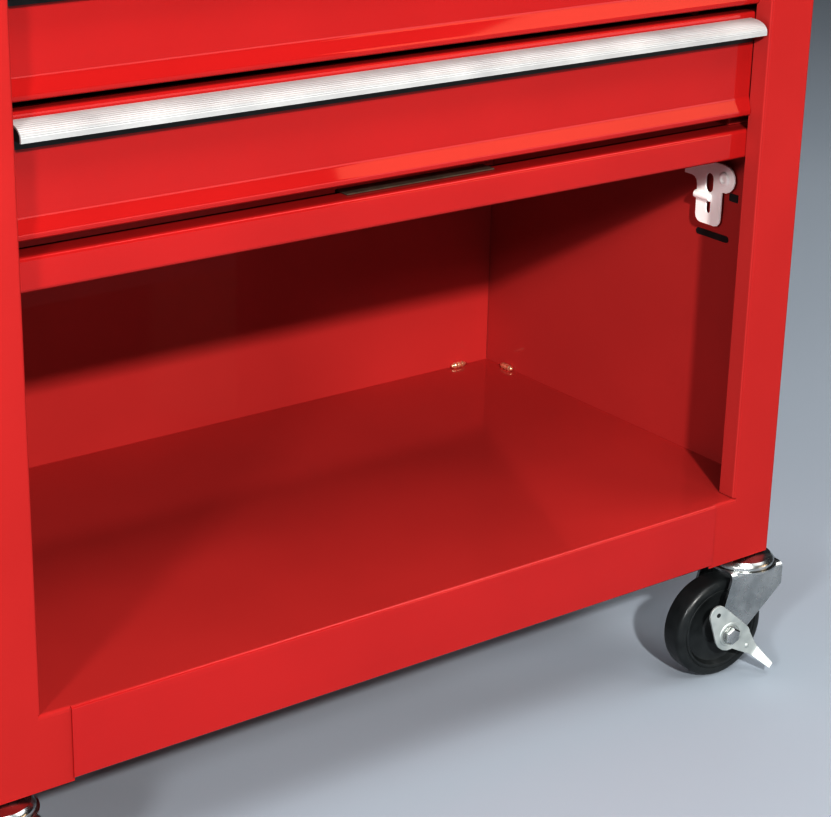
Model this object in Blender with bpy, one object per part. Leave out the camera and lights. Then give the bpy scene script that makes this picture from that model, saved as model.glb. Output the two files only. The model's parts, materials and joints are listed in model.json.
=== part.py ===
"""Rolling tool cabinet: folded steel body, drawers on slides, an open bay and four casters.

Metres, +Z up, the front at -Y. The origin is on the ground under the middle of the footprint.
"""
import math

import bmesh
import bpy
from mathutils import Matrix, Vector

for old in list(bpy.data.objects):
    bpy.data.objects.remove(old, do_unlink=True)

# Body
WIDTH = 0.673
DEPTH = 0.355
SHEET = 0.0012
INNER_BEND = 0.0012
FOLD_SEGMENTS = 3
SEAT = 0.0003
POST_WIDTH = 0.042
RECESS = 0.0165
REAR_FLANGE = 0.018
FOOT_TAB_SHOWS = 0.020
FOOT_TAB_LAP = 0.014
FOOT_TAB_DROP = 0.003
FOOT_TAB_CORNER = 0.005
SKIRT_LIFT = 0.002
SKIRT_HEIGHT = 0.051
FRONT_BASE_FLANGE = 0.049
REAR_BASE_FLANGE = 0.070
BAY_HEIGHT = 0.2633
RAIL_HEIGHT = 0.0215
RAIL_TOP_FLANGE = 0.0175
RAIL_LOW_FLANGE = 0.025
TOP_RAIL_HEIGHT = 0.032
TOP_RAIL_FLANGE = 0.030
TOP_TRAY_DEPTH = 0.018
TOP_LIP = 0.014

# Drawers
DRAWER_COUNT = 4
RAIL_GAP = 0.0104
FRONT_HEIGHT = 0.075
FRONT_GAP = 0.0054
FRONT_SIDE_GAP = 0.0010
FRONT_FLANGE = 0.012
LIP_HEIGHT = 0.0036
LIP_RISE = 0.0132
LIP_OUT = 0.003
TRAVEL = 0.25
TRAY_BACK_GAP = 0.0193
TRAY_LIFT = 0.004
TRAY_DROP = 0.008
TRAY_HEM = 0.005
PULL_SIDE_GAP = 0.0035
PULL_DROP = 0.004
PULL_HEIGHT = 0.0103
PULL_FRONT_GAP = 0.0005
PULL_WALL = 0.0016
PULL_WEB = 0.016
PULL_LIP = 0.003
PULL_ARC_STEPS = 6

# Slides and the uprights that carry them
UPRIGHT_WIDTH = 0.040
UPRIGHT_SIDE = 0.045
UPRIGHT_SETBACK = 0.0145
SLIDE_HEIGHT = 0.028
SLIDE_THICKNESS = 0.0127
SLIDE_BACK_GAP = 0.021
SLIDE_PLAY = 0.0006

# Latch strip and catch
LATCH_LENGTH = 0.120
LATCH_WIDTH = 0.014
LATCH_SHEET = 0.0015
LATCH_OFFSET = 0.008
LATCH_SHOWS = 0.005
CATCH_SHEET = 0.0016
CATCH_STANDOFF = 0.005
CATCH_BACK = 0.0688
CATCH_BELOW_RAIL = 0.0327
CATCH_LOBE = 0.011
CATCH_BODY_FRONT = 0.002
CATCH_BODY_BACK = 0.029
CATCH_LENGTH = 0.039
CATCH_CORNER = 0.006
CATCH_ARM_REACH = 0.043
CATCH_ARM_HEIGHT = 0.015
CATCH_SLOT_WIDTH = 0.0078
CATCH_SLOT_LENGTH = 0.015
CATCH_KEY_WIDTH = 0.0045
CATCH_KEY_LENGTH = 0.011
RIVET_RADIUS = 0.0025
RIVET_SHOULDER = 0.0045
RIVET_HEAD = 0.0055
RIVET_HEAD_HEIGHT = 0.0016
WALL_HOLE = (0.009, 0.006)
WALL_HOLE_FROM_PIVOT = (-0.0051, -0.0146)
WALL_SLOT = (0.035, 0.005)
WALL_SLOT_FROM_PIVOT = (0.0150, -0.0486)

# Casters
WHEEL_RADIUS = 0.041
WHEEL_WIDTH = 0.022
HUB_RADIUS = 0.012
HUB_LENGTH = 0.034
RING_RADIUS = 0.0315
RIM_RADIUS = 0.0367
WEB_DEPTH = 0.005
WHEEL_STEPS = 32
CROWN_CLEARANCE = 0.006
FORK_SHEET = 0.0025
FORK_PLAY = 0.0005
CROWN_RADIUS = 0.027
CROWN_DISC = 0.003
RACE_RADIUS = 0.0250
RACE_NECK_RADIUS = 0.0105
RACE_HEIGHT = 0.0104
RACE_STEPS = 28
STEM_RADIUS = 0.006
STEM_LENGTH = 0.016
PIN_HEAD_RADIUS = 0.009
PIN_HEAD_HEIGHT = 0.002
TRAIL = 0.025
ARM_END_RADIUS = 0.0115
ARM_SHOULDER = 0.018
ARM_LEAD_SHOULDER = 0.006
AXLE_RADIUS = 0.004
AXLE_HEAD_RADIUS = 0.0070
AXLE_HEAD_HEIGHT = 0.005
RUNNING = 0.0003
CASTER_INSET_SIDE = 0.0145
CASTER_INSET_FRONT = 0.0128
RIGHT_SWIVEL = math.radians(-6)
LEFT_SWIVEL = math.radians(-90)
BRAKE_SHEET = 0.002
BRAKE_RADIUS = 0.014
BRAKE_LOBE_RADIUS = 0.008
BRAKE_LOBE_AT = (-0.0125, 0.0190)
BRAKE_SHOULDER_RADIUS = 0.0095
BRAKE_SHOULDER_AT = (0.0110, -0.0040)
BRAKE_NECK_AT = (0.0250, -0.0195)
BRAKE_NECK_WIDTH = 0.009
PEDAL_TIP_WIDTH = 0.005
PEDAL_TIP_AT = (0.0355, -0.0313)
BRAKE_REACH = 0.033
PLATE_LENGTH = 0.066
PLATE_WIDTH = 0.052
PLATE_SHEET = 0.003
RIGID_INSET_SIDE = 0.036
RIGID_INSET_BACK = 0.040

# Places worked out from the sizes
FOLD = SHEET + INNER_BEND
CROWN_Z = 2 * WHEEL_RADIUS + CROWN_CLEARANCE
RACE_Z = CROWN_Z + CROWN_DISC + SEAT
FLANGE_Z = RACE_Z + RACE_HEIGHT + SEAT
BODY_Z = FLANGE_Z - SKIRT_LIFT
FLOOR_Z = FLANGE_Z + SKIRT_HEIGHT
RAIL_Z = FLOOR_Z + BAY_HEIGHT
RAIL_TOP_Z = RAIL_Z + RAIL_HEIGHT
DRAWER_Z = RAIL_TOP_Z + RAIL_GAP
PITCH = FRONT_HEIGHT + FRONT_GAP
TOP_RAIL_Z = DRAWER_Z + DRAWER_COUNT * PITCH
SIDE_TOP_Z = TOP_RAIL_Z + TOP_RAIL_HEIGHT
TOP_Z = SIDE_TOP_Z + SEAT + SHEET
HALF = WIDTH / 2
WALL_X = HALF - SHEET
POST_X = HALF - POST_WIDTH
PEDAL_IN_FRONT = BRAKE_REACH - CASTER_INSET_FRONT
FRONT_Y = -(DEPTH - PEDAL_IN_FRONT) / 2
BACK_Y = FRONT_Y + DEPTH
BACK_WALL_Y = BACK_Y - 2 * SHEET - SEAT
FACE_Y = FRONT_Y + RECESS
UPRIGHT_X = WALL_X - UPRIGHT_SIDE
SLIDE_X = UPRIGHT_X - SEAT
TRAY_X = SLIDE_X - SLIDE_THICKNESS - SEAT
UPRIGHT_FRONT_Y = FACE_Y + UPRIGHT_SETBACK
TRAY_Y = FACE_Y + SHEET + SEAT
TRAY_DEPTH = BACK_WALL_Y - TRAY_BACK_GAP - TRAY_Y
SLIDE_Y = UPRIGHT_SETBACK + SEAT
SLIDE_LENGTH = BACK_WALL_Y - SLIDE_BACK_GAP - FACE_Y - SLIDE_Y
SKIRT_X = POST_X - FOOT_TAB_SHOWS


def paint(name, colour, roughness, metallic):
    """One plain surface finish."""
    finish = bpy.data.materials.new(name)
    finish.use_nodes = True
    shader = finish.node_tree.nodes["Principled BSDF"]
    shader.inputs["Base Color"].default_value = (*colour, 1.0)
    shader.inputs["Roughness"].default_value = roughness
    shader.inputs["Metallic"].default_value = metallic
    return finish


RED = paint("red_enamel", (0.62, 0.016, 0.018), 0.22, 0.0)
ZINC = paint("zinc_plate", (0.72, 0.73, 0.74), 0.30, 1.0)
STEEL = paint("slide_steel", (0.55, 0.56, 0.57), 0.40, 1.0)
ALUMINIUM = paint("ribbed_aluminium", (0.86, 0.87, 0.88), 0.35, 1.0)
RUBBER = paint("black_moulding", (0.012, 0.012, 0.014), 0.45, 0.0)


def make(name, bm, finish, parent=None, place=(0, 0, 0), turn=(0, 0, 0)):
    """A named object from a bmesh, placed by its location and rotation."""
    mesh = bpy.data.meshes.new(name)
    bm.to_mesh(mesh)
    bm.free()
    mesh.materials.append(finish)
    obj = bpy.data.objects.new(name, mesh)
    bpy.context.scene.collection.objects.link(obj)
    obj.parent = parent
    obj.location = place
    obj.rotation_euler = turn
    return obj


def pivot(name, place, turn=(0, 0, 0), parent=None):
    """An empty on a joint's axis."""
    empty = bpy.data.objects.new(name, None)
    bpy.context.scene.collection.objects.link(empty)
    empty.parent = parent
    empty.location = place
    empty.rotation_euler = turn
    return empty


def thicken(obj, wall=SHEET):
    """Give a skin its sheet thickness, on the side away from its normals."""
    solid = obj.modifiers.new("sheet", "SOLIDIFY")
    solid.thickness = wall
    solid.offset = -1
    solid.use_even_offset = True
    return obj


def join_or_cut(obj, tool, operation):
    """Boolean with a helper object, which stays hidden."""
    tool.hide_render = True
    tool.display_type = "WIRE"
    boolean = obj.modifiers.new(operation.lower(), "BOOLEAN")
    boolean.operation = operation
    boolean.object = tool


def spot(along, point, reach):
    """A point of a section, set at a distance along the axis that it runs on."""
    first, second = point
    places = {"X": (reach, first, second), "Y": (first, reach, second), "Z": (first, second, reach)}
    return places[along]


def strip(points, low, high, along):
    """Outer skin of a folded sheet: one face per stretch of the section."""
    bm = bmesh.new()
    rows = [[bm.verts.new(spot(along, point, end)) for end in (low, high)] for point in points]
    for first, second in zip(rows, rows[1:]):
        bm.faces.new((first[0], first[1], second[1], second[0]))
    return bm


def round_folds(bm, radius=FOLD, segments=FOLD_SEGMENTS, least_angle=math.radians(4)):
    """Bend radius on every edge between two faces that aren't in one plane."""
    bm.normal_update()
    folds = [e for e in bm.edges if len(e.link_faces) == 2 and e.calc_face_angle() > least_angle]
    bmesh.ops.bevel(bm, geom=folds, offset=radius, offset_type="OFFSET", segments=segments,
                    profile=0.5, affect="EDGES", material=-1)
    return bm


def mirrored(bm):
    """The left-hand copy of a right-hand skin."""
    bmesh.ops.scale(bm, vec=(-1, 1, 1), verts=bm.verts)
    bmesh.ops.reverse_faces(bm, faces=bm.faces)
    return bm


def folded(name, points, low, high, along, finish, wall=SHEET, flip=False, least_angle=4, **where):
    """A folded sheet of one section, bent where it turns by more than the least angle in degrees."""
    skin = strip(points, low, high, along)
    bm = round_folds(skin, wall + INNER_BEND, FOLD_SEGMENTS, math.radians(least_angle))
    if flip:
        mirrored(bm)
    return thicken(make(name, bm, finish, **where), wall)


def arc(centre, radius, start, end, steps):
    """Points along an arc, angles in degrees."""
    angles = [math.radians(start + (end - start) * step / steps) for step in range(steps + 1)]
    return [(centre[0] + radius * math.cos(a), centre[1] + radius * math.sin(a)) for a in angles]


def block(low, high):
    """A box between two corners."""
    bm = bmesh.new()
    bmesh.ops.create_cube(bm, size=1.0)
    bmesh.ops.scale(bm, vec=Vector(high) - Vector(low), verts=bm.verts)
    bmesh.ops.translate(bm, vec=(Vector(low) + Vector(high)) / 2, verts=bm.verts)
    return bm


def plate(outline, low, high, along):
    """A flat outline drawn out along one axis."""
    bm = bmesh.new()
    face = bm.faces.new([bm.verts.new(spot(along, point, low)) for point in outline])
    drawn = bmesh.ops.extrude_face_region(bm, geom=[face])["geom"]
    moved = [item for item in drawn if isinstance(item, bmesh.types.BMVert)]
    bmesh.ops.translate(bm, vec=Vector(spot(along, (0, 0), high - low)), verts=moved)
    bmesh.ops.recalc_face_normals(bm, faces=bm.faces)
    return bm


def turned(profile, steps, axis="Z"):
    """A closed profile of (radius, height) points turned about an axis."""
    bm = bmesh.new()
    ring = [bm.verts.new((radius, 0, height)) for radius, height in profile]
    edges = [bm.edges.new(pair) for pair in zip(ring, ring[1:] + ring[:1])]
    bmesh.ops.spin(bm, geom=ring + edges, cent=(0, 0, 0), axis=(0, 0, 1),
                   angle=2 * math.pi, steps=steps, use_merge=True)
    bmesh.ops.remove_doubles(bm, verts=bm.verts, dist=1e-6)
    bmesh.ops.dissolve_degenerate(bm, edges=bm.edges, dist=1e-6)
    bmesh.ops.recalc_face_normals(bm, faces=bm.faces)
    lay = {"X": Matrix.Rotation(math.pi / 2, 3, "Y"), "Y": Matrix.Rotation(-math.pi / 2, 3, "X")}
    if axis in lay:
        bmesh.ops.rotate(bm, cent=(0, 0, 0), matrix=lay[axis], verts=bm.verts)
    return bm


def smooth(obj, angle=math.radians(35)):
    """Smooth shading for a round piece, with its corners kept sharp."""
    obj.data.shade_smooth()
    obj.data.set_sharp_from_angle(angle=angle)
    return obj


def rod(radius, low, high, axis, steps=24):
    """A plain round rod, also used as a drill."""
    return turned([(0, low), (radius, low), (radius, high), (0, high)], steps, axis)


def drill(obj, name, bm, place=(0, 0, 0), parent=None):
    """Cut a hidden helper shape out of a piece."""
    tool = make(name, bm, ZINC, parent=parent, place=place)
    join_or_cut(obj, tool, "DIFFERENCE")


# Side panels: rear flange, wall, post and post return, with the foot tab that the skirt laps over

def side_skin():
    """Right-hand side panel's outer skin."""
    return_end = FACE_Y - SEAT
    tab_top = FLOOR_Z - FOOT_TAB_DROP
    return_low = FLOOR_Z + SEAT
    return_high = TOP_RAIL_Z - SEAT
    section = [(HALF - REAR_FLANGE, BACK_Y), (HALF, BACK_Y), (HALF, FRONT_Y), (POST_X, FRONT_Y),
               (POST_X, return_end)]
    bm = round_folds(strip(section, BODY_Z, SIDE_TOP_Z, "Z"))
    for level in (tab_top, return_low, return_high):
        everything = bm.verts[:] + bm.edges[:] + bm.faces[:]
        bmesh.ops.bisect_plane(bm, geom=everything, plane_co=(0, 0, level), plane_no=(0, 0, 1), dist=1e-7)
    flat_end = POST_X + FOLD
    loose = []
    for face in bm.faces:
        spot_of = face.calc_center_median()
        beside_post = spot_of.x < flat_end and spot_of.y < FACE_Y
        if beside_post and not return_low < spot_of.z < return_high:
            loose.append(face)
    bmesh.ops.delete(bm, geom=loose, context="FACES")
    foot = [e for e in bm.edges if e.is_boundary
            and all(abs(v.co.x - flat_end) < 1e-6 and v.co.z < tab_top + 1e-6 for v in e.verts)]
    drawn = bmesh.ops.extrude_edge_only(bm, edges=foot)["geom"]
    tips = [item for item in drawn if isinstance(item, bmesh.types.BMVert)]
    bmesh.ops.translate(bm, vec=(-FOLD - FOOT_TAB_SHOWS - FOOT_TAB_LAP, 0, 0), verts=tips)
    corner = max(tips, key=lambda vert: vert.co.z)
    bmesh.ops.bevel(bm, geom=[corner], offset=FOOT_TAB_CORNER, segments=3, profile=0.5,
                    affect="VERTICES", material=-1)
    return bm


side_left = thicken(make("side_panel_left", mirrored(side_skin()), RED))
side_right = thicken(make("side_panel_right", side_skin(), RED))

# Base pan: bottom flanges for the casters, skirts and the bay floor, the front skirt in front of the foot tabs
PAN_FRONT_Y = FRONT_Y - SHEET - SEAT
PAN_BACK_Y = BACK_Y - SHEET - SEAT
BEHIND_POST_Y = FRONT_Y + SHEET + SEAT
PAN_X = WALL_X - SEAT - INNER_BEND / 2
RAIL_X = WALL_X - SEAT
base_pan = folded("base_pan", [
    (PAN_FRONT_Y + FRONT_BASE_FLANGE, FLANGE_Z), (PAN_FRONT_Y, FLANGE_Z), (PAN_FRONT_Y, FLOOR_Z),
    (PAN_BACK_Y, FLOOR_Z), (PAN_BACK_Y, FLANGE_Z), (PAN_BACK_Y - REAR_BASE_FLANGE, FLANGE_Z),
], -PAN_X, PAN_X, "X", RED)
FLANGE_FOLD_Z = FLANGE_Z + FOLD + SHEET


def lap_notch(obj, name, side, from_x, to_x, low, high):
    """Cut room for a lap joint at one foot, between two widths, depths and heights."""
    near, far = sorted((side * from_x, side * to_x))
    drill(obj, name, block((near, low[0], low[1]), (far, high[0], high[1])))


for hand, side, panel in (("left", -1, side_left), ("right", 1, side_right)):
    lap_notch(base_pan, f"skirt_notch_{hand}", side, SKIRT_X, HALF,
              (PAN_FRONT_Y - SHEET, FLANGE_Z - SHEET), (BEHIND_POST_Y, FLOOR_Z + SHEET))
    lap_notch(base_pan, f"flange_notch_{hand}", side, SKIRT_X - 2 * SHEET, HALF,
              (FRONT_Y - SEAT, FLANGE_Z - SHEET), (BEHIND_POST_Y, FLANGE_FOLD_Z))
    lap_notch(panel, f"tab_notch_{hand}", side, SKIRT_X - FOOT_TAB_LAP - SHEET, SKIRT_X - SHEET,
              (FRONT_Y - SHEET, BODY_Z - SHEET), (BEHIND_POST_Y, FLANGE_FOLD_Z))

back_panel = make("back_panel", block((-PAN_X, BACK_WALL_Y, FLOOR_Z + SEAT),
                                      (PAN_X, BACK_WALL_Y + SHEET, SIDE_TOP_Z)), RED)

divider_rail = folded("divider_rail", [
    (FACE_Y + RAIL_LOW_FLANGE, RAIL_Z), (FACE_Y, RAIL_Z), (FACE_Y, RAIL_TOP_Z),
    (FACE_Y + RAIL_TOP_FLANGE, RAIL_TOP_Z),
], -RAIL_X, RAIL_X, "X", RED)

top_rail = folded("top_rail", [
    (BEHIND_POST_Y + TOP_RAIL_FLANGE, TOP_RAIL_Z), (BEHIND_POST_Y, TOP_RAIL_Z), (BEHIND_POST_Y, SIDE_TOP_Z),
], -PAN_X, PAN_X, "X", RED)


def top_skin():
    """Top tray with a flat lip that caps the side panels, the back and the top rail."""
    bm = bmesh.new()
    corners = [(-HALF, FRONT_Y), (HALF, FRONT_Y), (HALF, BACK_Y), (-HALF, BACK_Y)]
    lid = bm.faces.new([bm.verts.new((x, y, TOP_Z)) for x, y in corners])
    bm.normal_update()
    bmesh.ops.inset_region(bm, faces=[lid], thickness=TOP_LIP, use_boundary=True, use_even_offset=True)
    well = bmesh.ops.extrude_face_region(bm, geom=[lid])["geom"]
    bmesh.ops.delete(bm, geom=[lid], context="FACES_ONLY")
    sunk = [item for item in well if isinstance(item, bmesh.types.BMVert)]
    bmesh.ops.translate(bm, vec=(0, 0, -TOP_TRAY_DEPTH), verts=sunk)
    bmesh.ops.recalc_face_normals(bm, faces=bm.faces)
    if max(bm.faces, key=lambda face: face.calc_area()).normal.z < 0:
        bmesh.ops.reverse_faces(bm, faces=bm.faces)
    return round_folds(bm)


top_panel = thicken(make("top_panel", top_skin(), RED))

# Slide uprights: hat channels from the divider rail to the top rail
UPRIGHT_LOW_Z = RAIL_TOP_Z + SEAT
UPRIGHT_HIGH_Z = TOP_RAIL_Z - SEAT
UPRIGHT_REAR_Y = BACK_WALL_Y - SEAT - UPRIGHT_WIDTH
for row, upright_y in (("front", UPRIGHT_FRONT_Y), ("rear", UPRIGHT_REAR_Y)):
    channel = [(RAIL_X, upright_y), (UPRIGHT_X, upright_y),
               (UPRIGHT_X, upright_y + UPRIGHT_WIDTH), (RAIL_X, upright_y + UPRIGHT_WIDTH)]
    for hand in ("left", "right"):
        folded(f"slide_upright_{row}_{hand}", channel, UPRIGHT_LOW_Z, UPRIGHT_HIGH_Z, "Z", RED,
               flip=hand == "left")

# Latch strip, held under the divider rail's top flange
latch_back = FACE_Y + RAIL_TOP_FLANGE + LATCH_SHOWS
latch_top = RAIL_TOP_Z - SHEET - SEAT
make("latch_strip", block((LATCH_OFFSET - LATCH_LENGTH / 2, latch_back - LATCH_WIDTH, latch_top - LATCH_SHEET),
                          (LATCH_OFFSET + LATCH_LENGTH / 2, latch_back, latch_top)), STEEL)


# Drawers

def drawer_front_section():
    """Front pan: top and bottom flanges, flat face and the lower lip that steps out."""
    return [(FRONT_FLANGE, 0), (-LIP_OUT, 0), (-LIP_OUT, LIP_HEIGHT), (0, LIP_RISE), (0, FRONT_HEIGHT),
            (FRONT_FLANGE, FRONT_HEIGHT)]


def pull_section():
    """Hooded pull: lip, rounded hood and the web that lies on the drawer's face."""
    web_y = -SEAT
    lip_y = -RECESS + PULL_FRONT_GAP
    top = FRONT_HEIGHT - PULL_DROP
    low = top - PULL_HEIGHT
    shoulder = low + PULL_LIP
    hood = []
    for step in range(PULL_ARC_STEPS + 1):
        angle = math.pi / 2 * step / PULL_ARC_STEPS
        hood.append((web_y + (lip_y - web_y) * math.cos(angle), shoulder + (top - shoulder) * math.sin(angle)))
    return [(lip_y, low), *hood, (web_y, top - PULL_WEB)]


def tray_skin():
    """Open drawer box with a narrow hem round its top."""
    bm = block((-TRAY_X, 0, TRAY_LIFT), (TRAY_X, TRAY_DEPTH, FRONT_HEIGHT - TRAY_DROP))
    lid = max(bm.faces, key=lambda face: face.calc_center_median().z)
    bmesh.ops.inset_region(bm, faces=[lid], thickness=TRAY_HEM, use_even_offset=True)
    bmesh.ops.delete(bm, geom=[lid], context="FACES")
    return round_folds(bm, segments=2)


def outer_slide_section():
    """Channel fixed to the uprights, open towards the drawer."""
    half = SLIDE_HEIGHT / 2
    mouth = SLIDE_X - SLIDE_THICKNESS + SHEET + SLIDE_PLAY
    return [(mouth, -half), (SLIDE_X, -half), (SLIDE_X, half), (mouth, half)]


def inner_slide_section():
    """Channel on the drawer's side, nested in the outer one."""
    half = SLIDE_HEIGHT / 2 - SHEET - SLIDE_PLAY
    back = SLIDE_X - SLIDE_THICKNESS
    reach = SLIDE_X - SHEET - SLIDE_PLAY
    return [(reach, half), (back, half), (back, -half), (reach, -half)]


FRONT_X = POST_X - FRONT_SIDE_GAP
PULL_X = POST_X - PULL_SIDE_GAP
SLIDE_MID_Z = (TRAY_LIFT + FRONT_HEIGHT - TRAY_DROP) / 2
for number in range(1, DRAWER_COUNT + 1):
    drawer = pivot(f"drawer_{number}_slide", (0, FACE_Y, DRAWER_Z + (number - 1) * PITCH))
    folded(f"drawer_{number}_front", drawer_front_section(), -FRONT_X, FRONT_X, "X", RED, least_angle=60,
           parent=drawer)
    folded(f"drawer_{number}_pull", pull_section(), -PULL_X, PULL_X, "X", ALUMINIUM, wall=PULL_WALL,
           least_angle=60, parent=drawer)
    thicken(make(f"drawer_{number}_tray", tray_skin(), RED, parent=drawer, place=(0, TRAY_Y - FACE_Y, 0)))
    for hand in ("left", "right"):
        for member, section in (("inner", inner_slide_section()), ("outer", outer_slide_section())):
            folded(f"drawer_{number}_{member}_slide_{hand}", section, SLIDE_Y, SLIDE_Y + SLIDE_LENGTH, "Y",
                   STEEL, flip=hand == "left", parent=drawer, place=(0, 0, SLIDE_MID_Z))


# Catch on the right wall of the bay

CATCH_X = WALL_X - CATCH_STANDOFF
CATCH_Y = FRONT_Y + CATCH_BACK
CATCH_Z = RAIL_Z - CATCH_BELOW_RAIL


def catch_outline():
    """Round pivot lobe in front, hanging body behind it and a short arm towards the back."""
    lobe = arc((0, 0), CATCH_LOBE, -80, -270, 8)
    arm_top = CATCH_LOBE
    arm = [(CATCH_ARM_REACH, arm_top), (CATCH_ARM_REACH, arm_top - CATCH_ARM_HEIGHT)]
    bend = (CATCH_BODY_BACK + CATCH_CORNER, arm_top - CATCH_ARM_HEIGHT - CATCH_CORNER)
    inner = arc(bend, CATCH_CORNER, 90, 180, 3)
    low = -CATCH_LENGTH + CATCH_CORNER
    back_corner = arc((CATCH_BODY_BACK - CATCH_CORNER, low), CATCH_CORNER, 0, -90, 3)
    front_corner = arc((CATCH_BODY_FRONT + CATCH_CORNER, low), CATCH_CORNER, -90, -180, 3)
    return lobe + arm + inner + back_corner + front_corner


def slot_outline(centre, width, length, upright=True):
    """A round-ended slot."""
    radius = width / 2
    straight = length / 2 - radius
    if upright:
        return (arc((centre[0], centre[1] + straight), radius, 0, 180, 6)
                + arc((centre[0], centre[1] - straight), radius, 180, 360, 6))
    return (arc((centre[0] + straight, centre[1]), radius, -90, 90, 6)
            + arc((centre[0] - straight, centre[1]), radius, 90, 270, 6))


catch = pivot("catch_pivot", (CATCH_X, CATCH_Y, CATCH_Z))
catch_plate = make("catch_plate", plate(catch_outline(), -CATCH_SHEET, 0, "X"), ZINC, parent=catch)
slot_y = (CATCH_BODY_FRONT + CATCH_BODY_BACK) / 2
slot_z = -CATCH_SLOT_LENGTH / 2 + CATCH_LOBE / 8
key_z = slot_z - CATCH_SLOT_LENGTH / 2 - CATCH_KEY_LENGTH
for cut, outline in (("slot", slot_outline((slot_y, slot_z), CATCH_SLOT_WIDTH, CATCH_SLOT_LENGTH)),
                     ("key", slot_outline((slot_y, key_z), CATCH_KEY_WIDTH, CATCH_KEY_LENGTH))):
    drill(catch_plate, f"catch_{cut}_cutter", plate(outline, -2 * CATCH_SHEET, CATCH_SHEET, "X"), parent=catch)
drill(catch_plate, "catch_hole_cutter",
      rod(RIVET_RADIUS + RUNNING, -2 * CATCH_SHEET, CATCH_SHEET, "X"), parent=catch)

rivet_inside = -CATCH_SHEET - SEAT
rivet_wall = CATCH_STANDOFF - SEAT
rivet_outside = CATCH_STANDOFF + SHEET + SEAT
smooth(make("catch_rivet", turned([
    (0, rivet_inside - RIVET_HEAD_HEIGHT), (RIVET_HEAD * 0.6, rivet_inside - RIVET_HEAD_HEIGHT),
    (RIVET_HEAD, rivet_inside), (RIVET_RADIUS, rivet_inside), (RIVET_RADIUS, SEAT),
    (RIVET_SHOULDER, SEAT), (RIVET_SHOULDER, rivet_wall), (RIVET_RADIUS, rivet_wall),
    (RIVET_RADIUS, rivet_outside), (RIVET_HEAD, rivet_outside),
    (RIVET_HEAD * 0.6, rivet_outside + RIVET_HEAD_HEIGHT), (0, rivet_outside + RIVET_HEAD_HEIGHT),
], 16, "X"), ZINC, parent=catch))

drill(side_right, "rivet_hole_cutter",
      rod(RIVET_RADIUS + RUNNING, -2 * SHEET, 2 * SHEET, "X"), (WALL_X + SHEET / 2, CATCH_Y, CATCH_Z))
hole_y, hole_z = WALL_HOLE_FROM_PIVOT
hole_half = (WALL_HOLE[0] / 2, WALL_HOLE[1] / 2)
hole = block((-2 * SHEET, -hole_half[0], -hole_half[1]), (3 * SHEET, *hole_half))
drill(side_right, "wall_hole_cutter", hole, (WALL_X, CATCH_Y + hole_y, CATCH_Z + hole_z))
slot = plate(slot_outline(WALL_SLOT_FROM_PIVOT, WALL_SLOT[1], WALL_SLOT[0], upright=False),
             -2 * SHEET, 3 * SHEET, "X")
drill(side_right, "wall_slot_cutter", slot, (WALL_X, CATCH_Y, CATCH_Z))


# Casters

ARM_Y = HUB_LENGTH / 2 + FORK_PLAY + FORK_SHEET
ARM_TOP_HALF = CROWN_RADIUS * 0.92
BORE = AXLE_RADIUS + RUNNING


def wheel_profile():
    """Moulded wheel: hub boss, sunk web, raised ring and rounded tread, as (radius, width) points."""
    half = WHEEL_WIDTH / 2
    hub_end = HUB_LENGTH / 2
    web = half - WEB_DEPTH
    shoulder = WHEEL_RADIUS - RIM_RADIUS
    side = [(BORE, hub_end), (HUB_RADIUS * 0.9, hub_end), (HUB_RADIUS, half), (HUB_RADIUS * 1.15, web),
            (RING_RADIUS - WEB_DEPTH / 3, web), (RING_RADIUS, half), (RIM_RADIUS, half)]
    tread = [(RIM_RADIUS + shoulder * math.sin(a), half - shoulder * (1 - math.cos(a)))
             for a in (math.pi / 6, math.pi / 3, math.pi / 2)]
    near = side + tread
    return near + [(radius, -width) for radius, width in reversed(near)]


def axle_profile(near_end, far_end):
    """Bolt with a head at each end, as (radius, place) points along the axle."""
    return [(0, far_end + AXLE_HEAD_HEIGHT), (AXLE_HEAD_RADIUS, far_end + AXLE_HEAD_HEIGHT),
            (AXLE_HEAD_RADIUS, far_end), (AXLE_RADIUS, far_end), (AXLE_RADIUS, near_end),
            (AXLE_HEAD_RADIUS, near_end), (AXLE_HEAD_RADIUS, near_end - AXLE_HEAD_HEIGHT),
            (0, near_end - AXLE_HEAD_HEIGHT)]


def arm_outline(top, top_half, axle_x, shoulders):
    """Fork arm seen from the side: wide at the crown, round about the axle, a shoulder at each side."""
    centre = Vector((axle_x, WHEEL_RADIUS))
    left = Vector((-top_half, top - shoulders[0]))
    right = Vector((top_half, top - shoulders[1]))

    def touch(corner, side):
        """Angle at which a straight edge from the corner meets the round end."""
        away = corner - centre
        return math.degrees(math.atan2(away.y, away.x) - side * math.acos(ARM_END_RADIUS / away.length))

    end = arc(centre, ARM_END_RADIUS, touch(right, 1), touch(left, -1) - 360, 8)
    return [(-top_half, top), (top_half, top), tuple(right), *end, tuple(left)]


def fork_skin(top, top_half, axle_x, shoulders, fold=FORK_SHEET * 1.6):
    """Two arms folded down from a crown."""
    bm = bmesh.new()
    outline = arm_outline(top, top_half, axle_x, shoulders)
    near = [bm.verts.new((x, -ARM_Y, z)) for x, z in outline]
    far = [bm.verts.new((x, ARM_Y, z)) for x, z in outline]
    bm.faces.new(near)
    bm.faces.new(far)
    bm.faces.new((near[0], near[1], far[1], far[0]))
    bmesh.ops.recalc_face_normals(bm, faces=bm.faces)
    crown = max(bm.faces, key=lambda face: face.calc_center_median().z)
    if crown.normal.z < 0:
        bmesh.ops.reverse_faces(bm, faces=bm.faces)
    return round_folds(bm, radius=fold)


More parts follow.
